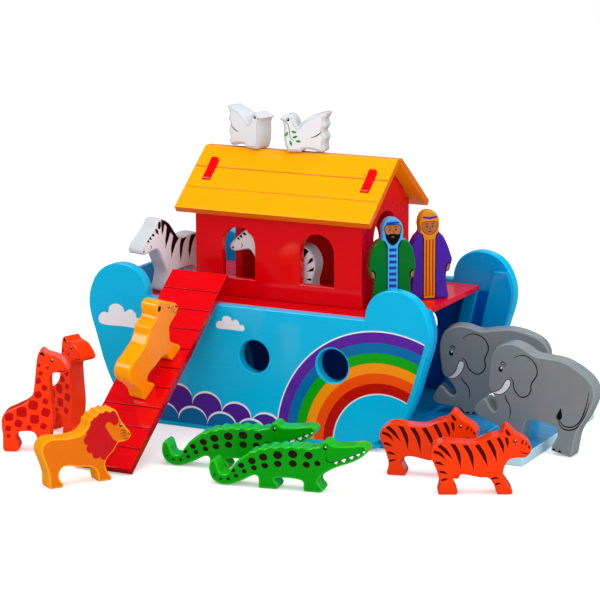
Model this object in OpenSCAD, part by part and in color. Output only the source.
// Toy ark with a lift-off roof, end boards in slots, a gangway, cut-out animals and two figures
// Bow towards -X, stern towards +X, gangway side towards -Y, floor at z = 0, sizes in mm

/* [Hull] */
// Length of the side panels
hull_len = 378; // [300:1:480]
// Width over the side panels
hull_w = 225; // [190:1:300]
// Thickness of a side panel
side_t = 12; // [8:0.5:18]
// Height of the straight rail between the raised ends
rail_z = 130; // [110:1:170]
// Rise of the round ends above the rail
ear_rise = 31.5; // [20:0.5:45]
// Radius of a porthole
porthole_r = 16.5; // [10:0.5:22]
// Distance between portholes
porthole_gap = 86; // [60:1:100]
// Height of the porthole centres
porthole_z = 81; // [60:1:95]
// Thickness of the hull floor
floor_t = 10; // [6:0.5:14]
// Thickness of the deck
deck_t = 6; // [4:0.5:10]
// Drop of the deck below the rail
deck_drop = 4; // [2:0.5:8]

/* [End boards] */
// Thickness of an end board
board_t = 10.5; // [8:0.5:14]
// Length of an end board up its slot
board_len = 139.5; // [120:0.5:170]
// Play of the board across its slot
slot_play = 1.5; // [0.5:0.1:3]
// Play of the board between the side panels, each side
board_side_play = 2.5; // [0.5:0.1:4]
// Lean of the slots from upright
slot_lean = 12.9; // [6:0.1:18]
// Depth of the battens that make the slots
batten_t = 7.5; // [5:0.5:12]
// Width of an inner batten
batten_w = 14; // [8:0.5:20]

/* [Cabin] */
// Length of the cabin
cabin_len = 186; // [150:1:210]
// Width of the cabin
cabin_w = 112.4; // [90:0.1:130]
// Thickness of the cabin walls
wall_t = 9; // [6:0.5:12]
// Cabin centre along the hull
cabin_x = -2.5; // [-15:0.5:15]
// Height of the eaves' upper edge above the deck
eave_rise = 89.6; // [80:0.1:110]
// Window width
window_w = 37; // [24:1:44]
// Distance of the window centres from the cabin's middle
window_x = 44; // [35:0.5:50]
// Height of the window sill above the deck
window_sill = 19; // [10:1:30]
// Height of a window from sill to arch top
window_h = 52; // [40:1:58]
// Door width
door_w = 56; // [40:1:70]
// Height of the door's arch top above the deck
door_h = 89; // [70:1:92]

/* [Roof] */
// Length of the roof
roof_len = 217; // [190:1:250]
// Slope of the roof
roof_slope = 38.6; // [30:0.1:45]
// Half width of the flat ridge
ridge_half = 5.5; // [4:0.5:8]
// Thickness of a roof panel
roof_t = 7; // [5:0.5:9]
// Run of the roof past the cabin's long walls
roof_over = 16.1; // [8:0.1:24]
// Length of a tab across the cabin
tab_run = 20.7; // [14:0.1:26]
// How far a tab stands proud of the roof
tab_proud = 3; // [1:0.5:5]
// Play of a tab in its slot
tab_play = 0.4; // [0.2:0.1:1]
// Width and depth of the plank grooves
groove_w = 1.4; // [0.6:0.1:3]

/* [Gangway] */
// Width of the gangway
gangway_w = 63; // [40:1:90]
// Length of the gangway
gangway_len = 248; // [232:1:275]
// Thickness of the gangway
gangway_t = 8; // [5:0.5:12]
// Distance of its foot from the hull side
gangway_run = 171; // [140:1:180]
// Middle of the gangway along the hull
gangway_x = -71.5; // [-75:0.5:-40]
// Number of planks drawn on it
gangway_planks = 10; // [4:1:14]

/* [Animals and figures] */
// Thickness of the animals
animal_t = 19; // [12:0.5:22]
// Thickness of the doves
dove_t = 20; // [12:0.5:22]
// Thickness of the figures
figure_t = 14; // [10:0.5:15]
// Height of a giraffe
giraffe_h = 101.5; // [94:0.5:109]
// Height of the lion
lion_h = 69; // [64:0.5:74]
// Height of the lioness
lioness_h = 67.6; // [62:0.1:72]
// Height of a zebra
zebra_h = 77; // [72:0.5:82]
// Height of a dove
dove_h = 41.5; // [38:0.1:45]
// Height of a crocodile
crocodile_h = 49; // [45:0.5:53]
// Height of a tiger
tiger_h = 65; // [60:0.5:70]
// Height of an elephant
elephant_h = 91; // [85:0.5:97]
// Height of the hooded figure
hooded_h = 90; // [80:0.5:96]
// Height of the bearded figure
bearded_h = 91.5; // [80:0.5:96]

/* [Show] */
// Piece to show

/* [Hidden] */
$fn = 72;

// Gap left between loose pieces that rest on one another
rest_gap = 0.02;
// Steps of the curve between two outline points
steps = 3;

half = hull_len / 2;
side_y = hull_w / 2;
inner_y = side_y - side_t;
ear_z = rail_z + ear_rise;
deck_z = rail_z - deck_drop;
deck_low = deck_z - deck_t;

// Middle line of the stern slot, and half its width along X
slot_foot = half * 0.684;
function slot_x(z) = slot_foot + z * tan(slot_lean);
slot_half = (board_t + slot_play) / 2 / cos(slot_lean);
deck_half = slot_x(deck_low) - slot_half - 0.6;
floor_half = slot_x(floor_t) + 1.4;
board_w = 2 * (inner_y - board_side_play);
board_foot = floor_t + 0.6;
batten_top = rail_z + 13;

cabin_half = cabin_len / 2;
cabin_y = cabin_w / 2;
cabin_in = cabin_y - wall_t;

// Roof lines, outer and inner height at a distance y from the middle
eave_y = cabin_y + roof_over;
eave_z = deck_z + eave_rise;
function roof_out(y) = eave_z + (eave_y - y) * tan(roof_slope);
roof_drop = roof_t / cos(roof_slope);
function roof_in(y) = roof_out(y) - roof_drop;
ridge_z = roof_out(ridge_half);
slope_len = (eave_y - ridge_half) / cos(roof_slope);
tab_y = (cabin_in - tab_run) / 2 + 7.4;

gangway_lean = atan(rail_z / gangway_run);
gangway_y = -side_y - gangway_run;
plank = gangway_len / gangway_planks;

stern_board_x = half * 0.7381;
elephant_lean = asin((board_t + 2 * rest_gap) / (53 * elephant_h / 91));

blue = [0.0, 0.55, 0.80];
deep_blue = [0.0, 0.42, 0.68];
red = [0.86, 0.01, 0.03];
yellow = [1.0, 0.72, 0.02];
orange = [0.96, 0.42, 0.0];
rust = [0.95, 0.20, 0.02];
green = [0.0, 0.50, 0.03];
grey = [0.45, 0.47, 0.49];
white = [0.92, 0.91, 0.93];

// Smooth curve through outline points
function knot(a, b) = sqrt(norm(b - a));
function blend(a, b, c, d, s) =
    let (u = knot(a, b), v = u + knot(b, c), w = v + knot(c, d), t = u + (v - u) * s)
    let (e = a * (u - t) / u + b * t / u)
    let (f = b * (v - t) / (v - u) + c * (t - u) / (v - u))
    let (g = c * (w - t) / (w - v) + d * (t - v) / (w - v))
    let (h = e * (v - t) / v + f * t / v)
    let (k = f * (w - t) / (w - u) + g * (t - u) / (w - u))
    h * (v - t) / (v - u) + k * (t - u) / (v - u);
function closed_curve(p) =
    let (n = len(p))
    [for (i = [0 : n - 1]) for (k = [0 : steps - 1])
        blend(p[(i + n - 1) % n], p[i], p[(i + 1) % n], p[(i + 2) % n], k / steps)];
function open_curve(p) =
    let (n = len(p), q = concat([2 * p[0] - p[1]], p, [2 * p[n - 1] - p[n - 2]]))
    concat([for (i = [1 : n - 1]) for (k = [0 : steps - 1])
        blend(q[i - 1], q[i], q[i + 1], q[i + 2], k / steps)], [p[n - 1]]);
function flipped(p) = [for (i = [len(p) - 1 : -1 : 0]) [-p[i][0], p[i][1]]];

// Outline of a side panel, from the stern half
function stern_edge() = concat(open_curve([
    [half * 0.606, 0], [half * 0.818, rail_z * 0.19], [half * 0.897, rail_z * 0.39],
    [half * 0.957, rail_z * 0.66], [half * 0.997, rail_z * 0.87], [half * 0.992, rail_z],
    [half * 0.951, rail_z + ear_rise * 0.55], [half * 0.892, rail_z + ear_rise * 0.86],
    [half * 0.8, ear_z], [half * 0.716, rail_z + ear_rise * 0.88], [half * 0.667, rail_z + ear_rise * 0.62],
    [half * 0.641, rail_z + ear_rise * 0.26], [half * 0.637, rail_z]]));

module side_outline() {
    polygon(concat(stern_edge(), flipped(stern_edge())));
}

module upright(t) {
    rotate([90, 0, 0])
        translate([0, 0, -t / 2])
            linear_extrude(t)
                children();
}

module hull_side(y) {
    color(blue)
        translate([0, y, 0])
            difference() {
                upright(side_t) side_outline();
                for (x = [-porthole_gap, 0, porthole_gap])
                    translate([x, 0, porthole_z])
                        rotate([90, 0, 0])
                            cylinder(r = porthole_r, h = side_t + 2, center = true);
            }
}

module hull_side_front() {
    hull_side(-(inner_y + side_t / 2));
}

module hull_side_back() {
    hull_side(inner_y + side_t / 2);
}

module hull_floor() {
    color(deep_blue)
        upright(2 * inner_y)
            polygon([[-half * 0.59, 0], [half * 0.59, 0], [floor_half, floor_t], [-floor_half, floor_t]]);
}

module deck() {
    color(red)
        translate([-deck_half, -inner_y, deck_low])
            cube([2 * deck_half, 2 * inner_y, deck_t]);
}

// Batten outside the slot, up to the panel's edge
module outer_batten() {
    color(blue)
        upright(batten_t)
            intersection() {
                side_outline();
                polygon([[slot_x(floor_t + 4) + slot_half, floor_t + 4], [half + 5, floor_t + 4],
                    [half + 5, batten_top], [slot_x(batten_top) + slot_half, batten_top]]);
            }
}

// Batten inside the slot, under the deck
module inner_batten() {
    color(blue)
        upright(batten_t)
            polygon([[slot_x(floor_t) - slot_half - batten_w, floor_t], [slot_x(floor_t) - slot_half, floor_t],
                [slot_x(deck_low) - slot_half, deck_low], [slot_x(deck_low) - slot_half - batten_w, deck_low]]);
}

module at_batten(bow, front) {
    translate([0, (front ? -1 : 1) * (inner_y - batten_t / 2), 0])
        mirror([bow ? 1 : 0, 0, 0])
            children();
}

module batten_bow_front_outer() {
    at_batten(true, true) outer_batten();
}

module batten_bow_front_inner() {
    at_batten(true, true) inner_batten();
}

module batten_bow_back_outer() {
    at_batten(true, false) outer_batten();
}

module batten_bow_back_inner() {
    at_batten(true, false) inner_batten();
}

module batten_stern_front_outer() {
    at_batten(false, true) outer_batten();
}

module batten_stern_front_inner() {
    at_batten(false, true) inner_batten();
}

module batten_stern_back_outer() {
    at_batten(false, false) outer_batten();
}

module batten_stern_back_inner() {
    at_batten(false, false) inner_batten();
}

// Opening with a round arch, cut through along Y
module arch_cut(w, h, t) {
    translate([-w / 2, -t / 2, 0])
        cube([w, t, h - w / 2]);
    translate([0, 0, h - w / 2])
        rotate([90, 0, 0])
            cylinder(d = w, h = t, center = true);
}

module long_wall(y) {
    color(red)
        difference() {
            translate([cabin_x - cabin_half, y - wall_t / 2, deck_z])
                cube([cabin_len, wall_t, roof_in(cabin_y) - rest_gap - deck_z]);
            for (x = [-window_x, window_x])
                translate([cabin_x + x, y, deck_z + window_sill])
                    arch_cut(window_w, window_h, wall_t + 2);
        }
}

module cabin_front_wall() {
    long_wall(-(cabin_in + wall_t / 2));
}

module cabin_back_wall() {
    long_wall(cabin_in + wall_t / 2);
}

// Right half of an end wall's top edge, with a tab that comes up through the roof, round at its lower end
function gable_edge() =
    let (low = tab_y + tab_run, r = tab_proud + 1)
    [[cabin_in, deck_z], [cabin_in, roof_in(cabin_in) - rest_gap], [low, roof_in(low) - rest_gap],
        for (a = [90 : -15 : 0]) [low - r + r * sin(a), roof_out(low) + r * cos(a)],
        [tab_y, roof_out(tab_y) + tab_proud / cos(roof_slope)], [tab_y, roof_in(tab_y) - rest_gap],
        [0, roof_in(0) - rest_gap]];

module end_wall(x) {
    color(red)
        translate([x, 0, 0])
            difference() {
                rotate([90, 0, 90])
                    translate([0, 0, -wall_t / 2])
                        linear_extrude(wall_t)
                            polygon(concat(gable_edge(), flipped(gable_edge())));
                translate([0, 0, deck_z - 1])
                    rotate([0, 0, 90])
                        arch_cut(door_w, door_h + 1, wall_t + 2);
            }
}

module cabin_bow_wall() {
    end_wall(cabin_x - cabin_half + wall_t / 2);
}

module cabin_stern_wall() {
    end_wall(cabin_x + cabin_half - wall_t / 2);
}

// Back half of the roof, with tab slots and plank grooves
module roof_half() {
    color(yellow)
        translate([cabin_x, 0, 0])
            difference() {
                rotate([90, 0, 90])
                    translate([0, 0, -roof_len / 2])
                        linear_extrude(roof_len)
                            polygon([[0, roof_in(0)], [0, ridge_z], [ridge_half, ridge_z], [eave_y, eave_z],
                                [eave_y - roof_t * sin(roof_slope), eave_z - roof_t * cos(roof_slope)]]);
                for (x = [-1, 1])
                    translate([x * (cabin_half - wall_t / 2) - wall_t / 2 - tab_play, tab_y - tab_play,
                            eave_z - roof_t])
                        cube([wall_t + 2 * tab_play, tab_run + 2 * tab_play, ridge_z - eave_z + 2 * roof_t]);
                for (s = [1, 2] * slope_len / 3)
                    translate([0, eave_y - s * cos(roof_slope), eave_z + s * sin(roof_slope)])
                        rotate([-roof_slope, 0, 0])
                            cube([roof_len + 2, groove_w, groove_w], center = true);
            }
}

module roof_front_panel() {
    mirror([0, 1, 0]) roof_half();
}

module roof_back_panel() {
    roof_half();
}

// End board standing on its foot, grooved across its outer face
module end_board() {
    color(deep_blue)
        difference() {
            translate([-board_t / 2, -board_w / 2, 0])
                cube([board_t, board_w, board_len]);
            translate([board_t / 2, 0, board_len * 0.55])
                cube([groove_w, board_w + 2, groove_w], center = true);
        }
}

module bow_board() {
    translate([-slot_x(board_foot), 0, board_foot])
        rotate([0, -slot_lean, 0])
            mirror([1, 0, 0])
                end_board();
}

module stern_board() {
    translate([stern_board_x, 0, board_t / 2])
        rotate([0, 90, 0])
            mirror([1, 0, 0])
                end_board();
}

module on_gangway() {
    translate([gangway_x, gangway_y, rest_gap])
        rotate([gangway_lean, 0, 0])
            children();
}

module gangway() {
    color(red)
        on_gangway()
            difference() {
                translate([-gangway_w / 2, 0, 0])
                    cube([gangway_w, gangway_len, gangway_t]);
                for (k = [1 : gangway_planks - 1])
                    translate([0, k * plank, gangway_t])
                        cube([gangway_w + 2, groove_w, groove_w], center = true);
            }
}

// Flat cut-out that stands on z = 0 with its nose towards +X, k times the size its points are drawn at
module cutout(p, t, k = 1) {
    upright(t)
        intersection() {
            polygon(closed_curve(p * k));
            translate([-150, 0])
                square([300, 200]);
        }
}

module stand(x, y, z, turn) {
    translate([x, y, z])
        rotate([0, 0, turn])
            children();
}

module giraffe() {
    color(rust)
        cutout([[-5.5, -0.4], [5.5, -0.4], [9, 3.5], [8, 8.5], [6, 12], [8.5, 19], [15, 20.4], [24, 19.3],
            [27, 12], [26.8, 3], [28, -0.4], [38.5, -0.4], [42.3, 3], [42, 7.5], [39.8, 11.5], [42.2, 26],
            [43, 36], [41, 62], [41.3, 75], [45.5, 79.3], [55, 79], [59, 82], [56, 88], [48.5, 95],
            [38, 98.3], [34, 101.5], [30.5, 99.5], [27.6, 86], [25.4, 67], [23.5, 57.5], [18, 50.5],
            [6, 44.2], [-4.5, 38.5], [-7.6, 31], [-6.8, 16]], animal_t, giraffe_h / 101.5);
}

module giraffe_near() {
    stand(-half - 2.6, -side_y - 144.8, 0, 23) giraffe();
}

module giraffe_far() {
    stand(-half - 8.9, -side_y - 61.4, 0, -17) giraffe();
}

module lion() {
    color(orange)
        stand(gangway_x - 17.4, gangway_y - 64.2, 0, 56)
            cutout([[-5.3, -0.4], [6, -0.4], [8, 1.9], [4.6, 8], [4, 13.5], [9, 19.5], [24, 17], [37.5, 14.4],
                [42, 9.5], [43.6, 2], [45, -0.4], [55.3, -0.4], [57.2, 2.2], [53.4, 8.5], [51, 15.5],
                [53, 21.3], [60, 28], [65, 34.8], [71, 35.4], [76.3, 37.6], [78, 41.6], [72.5, 49.5],
                [67.5, 57], [63.2, 66], [59.5, 68.2], [56.2, 66.9], [52.6, 69], [48.8, 67.2], [45.2, 67.6],
                [42.6, 64.8], [39.2, 64.8], [37.6, 61.4], [35, 60], [34.4, 55.4], [28, 48.8], [15, 46.5],
                [-4, 47.7], [-10.8, 44.2], [-13.7, 37], [-10, 25], [-6.3, 12]], animal_t, lion_h / 69);
}

module lioness() {
    color(orange)
        on_gangway()
            stand(2.7, 83.9, gangway_t + rest_gap, 82)
                cutout([[-0.3, -0.4], [16.5, -0.4], [18.2, 3], [14.2, 10], [13, 15.3], [18.5, 18.3], [28, 17],
                    [43.5, 15.2], [48.2, 11], [50, 3], [52.5, -0.4], [66, -0.4], [68, 3], [63.5, 11.5],
                    [59.8, 19.5], [62.8, 27], [68, 34.3], [80.5, 35.6], [85.4, 38.2], [87.2, 42.8],
                    [81.5, 52.5], [72.5, 63.8], [68, 67.6], [63, 67.4], [60, 64], [58, 58.3], [53.5, 56.8],
                    [47.5, 56.4], [43.4, 56.6], [40, 53], [30, 48.3], [15, 47.6], [2, 47.4], [-4.4, 43],
                    [-6.3, 35], [-2, 21], [0.5, 12]], animal_t, lioness_h / 67.6);
}

module zebra() {
    color(white)
        cutout([[-62, -0.4], [-50, -0.4], [-46.3, 3.5], [-48, 10], [-45.5, 19], [-41, 21.6], [-22, 20.6],
            [-15.6, 19.4], [-13.6, 12], [-14, 3], [-12.6, -0.4], [-2.5, -0.4], [0.8, 3], [-1.8, 10],
            [-4.4, 21], [0.5, 32.5], [6.5, 44.2], [10, 46.3], [25, 43.2], [30.3, 44.6], [31.6, 48.5],
            [24, 57.5], [12, 68], [5.5, 76.5], [0.5, 76.8], [-9, 71.6], [-17.5, 61], [-22.5, 55.3], [-30, 54],
            [-46, 55.8], [-57, 53], [-64.5, 42.5], [-65, 32], [-61.6, 19], [-61.8, 8]], animal_t, zebra_h / 77);
}

module zebra_bow() {
    stand(-deck_half + 17.7, -inner_y + 29.2, deck_z + rest_gap, 255) zebra();
}

module zebra_cabin() {
    stand(cabin_x - 30.2, -cabin_in + 14.7, deck_z + rest_gap, 180) zebra();
}

module dove() {
    color(white)
        cutout([[-5.9, -0.3], [5.9, -0.3], [9.5, 5], [11.4, 16], [11.8, 29.4], [15.6, 33.2], [12.2, 35.4],
            [7.7, 37.6], [3.2, 37.6], [0, 34.6], [-3.6, 26.2], [-6.8, 29.6], [-12.7, 34.4], [-22.7, 39],
            [-34.9, 41.5], [-34.5, 38], [-31.9, 34], [-33.7, 28], [-30.8, 22.8], [-33.6, 16], [-31.7, 10.5],
            [-32.1, 3], [-29.5, 0.8], [-18.1, 2.9], [-10, 2.6]], dove_t, dove_h / 41.5);
}

module dove_left() {
    stand(cabin_x - 50.3, 0, ridge_z + rest_gap, -18.2) dove();
}

module dove_right() {
    stand(cabin_x - 5.9, 0, ridge_z + rest_gap, 188) dove();
}

module crocodile() {
    color(green)
        cutout([[-8.2, -0.4], [8, -0.4], [11, 3.5], [6.8, 9.4], [11, 11], [30, 10.8], [34.4, 9], [35.5, -0.4],
            [50, -0.4], [53.5, 3.5], [48.8, 10], [52, 16], [65, 24.5], [83, 32], [94, 40], [95.6, 45.5],
            [92, 48], [76, 46.2], [62, 46], [58.5, 49], [54, 49], [49.6, 43.8], [44.4, 43], [39.6, 41.2],
            [34, 43.2], [29, 41.5], [23.6, 43.1], [18.6, 41.1], [13, 42.2], [8, 40], [2.5, 40.7],
            [-2.4, 38.1], [-7.6, 38.2], [-11.6, 35.2], [-16.4, 34.4], [-19.8, 31.2], [-29, 24.5],
            [-35.5, 15.8], [-40, 11.2], [-45.6, 11.3], [-48.4, 18.5], [-51, 23.4], [-54.6, 23],
            [-56.8, 15], [-54, 5.5], [-47, 1], [-38, 0.6], [-24, 6], [-13, 11.6], [-9.4, 10.8],
            [-8.4, 5]], animal_t, crocodile_h / 49);
}

module crocodile_near() {
    stand(92.9, -side_y - 145.9, 0, 10) crocodile();
}

module crocodile_far() {
    stand(21.4, -side_y - 108.8, 0, 10.4) crocodile();
}

module tiger() {
    color(rust)
        cutout([[-7.8, -0.4], [8, -0.4], [9.8, 2.5], [6.6, 10], [5.8, 14.8], [12, 19], [30, 16.2], [38, 15.4],
            [42.4, 10], [45.4, 2], [47, -0.4], [58, -0.4], [60.2, 2], [56, 10.3], [51.6, 17.5], [52.4, 26],
            [57, 33], [64, 34.6], [71, 34.8], [75.4, 38.6], [77, 43.6], [74, 50], [64, 56.4], [57.5, 62.8],
            [53.8, 64.8], [51, 62], [49, 57], [40, 54.5], [27, 49], [14, 48.8], [-3, 50], [-11.5, 46.4],
            [-15.2, 38], [-10, 24], [-6.6, 11]], animal_t, tiger_h / 65);
}

module tiger_near() {
    stand(half + 58.7, -side_y - 92.7, 0, 27) tiger();
}

module tiger_far() {
    stand(half - 8.5, -side_y - 55.3, 0, 15) tiger();
}

module elephant() {
    color(grey)
        cutout([[0, -0.4], [20, -0.4], [20.6, 5.5], [17.6, 17], [20.6, 23], [26, 24.6], [46, 23.2],
            [51.6, 19.5], [52.4, 4], [53, -0.4], [73.5, -0.4], [75.4, 3.6], [79.4, 6.4], [88, 8], [97, 8.8],
            [104.2, 11.2], [106.8, 16], [103.6, 22.8], [98.8, 29], [95, 26.6], [90, 21], [86, 19.2], [83.2, 21.8],
            [85, 27.4], [90.5, 35.2], [96.4, 40.4], [99, 54], [100, 70.6], [96, 83.6], [84, 90.7], [72, 90.4],
            [58, 86.6], [46, 88.2], [28, 89.8], [8, 85], [-5, 77.5], [-10.8, 66.5], [-8.5, 48], [-1, 25],
            [-0.8, 9]], animal_t, elephant_h / 91);
}

module elephant_near() {
    stand(stern_board_x + 169.4, -38.85, 0, 178.5)
        rotate([0, -elephant_lean, 0])
            elephant();
}

module elephant_far() {
    stand(stern_board_x + 100, 45.05, board_t + rest_gap, 193.9) elephant();
}

// Robed figure with square or sloping shoulders, from half its outline for a height of 90
function robe(square) = concat([[19.6, -0.4], [18.9, 10]],
    square ? [[18, 30.4], [20.4, 31.4], [21.8, 36], [22.4, 42], [22.2, 46.5], [21.4, 52], [20.2, 58], [18.4, 63],
            [15.2, 67], [10.2, 70]]
        : [[18, 27], [20.7, 28.1], [22.2, 33.5], [23.8, 39.8], [22, 46], [19.8, 52.4], [17.4, 58.2], [14.2, 64],
            [9.8, 69]],
    [[10.5, 77], [8.5, 85], [4, 89.4]]);

module figure(tall, square, hue) {
    p = robe(square) * (tall / 90);
    color(hue)
        cutout(concat(p, flipped(p)), figure_t);
}

module figure_bearded() {
    stand(cabin_x + cabin_half + 24, -38.5, deck_z + rest_gap, 36) figure(bearded_h, true, green);
}

module figure_hooded() {
    stand(cabin_x + cabin_half + 36.4, 21, deck_z + rest_gap, 40) figure(hooded_h, false, [0.28, 0.10, 0.60]);
}

hull_side_front();
hull_side_back();
hull_floor();
deck();
batten_bow_front_outer();
batten_bow_front_inner();
batten_bow_back_outer();
batten_bow_back_inner();
batten_stern_front_outer();
batten_stern_front_inner();
batten_stern_back_outer();
batten_stern_back_inner();
cabin_front_wall();
cabin_back_wall();
cabin_bow_wall();
cabin_stern_wall();
roof_front_panel();
roof_back_panel();
bow_board();
stern_board();
gangway();
giraffe_near();
giraffe_far();
lion();
lioness();
zebra_bow();
zebra_cabin();
dove_left();
dove_right();
crocodile_near();
crocodile_far();
tiger_near();
tiger_far();
elephant_near();
elephant_far();
figure_bearded();
figure_hooded();
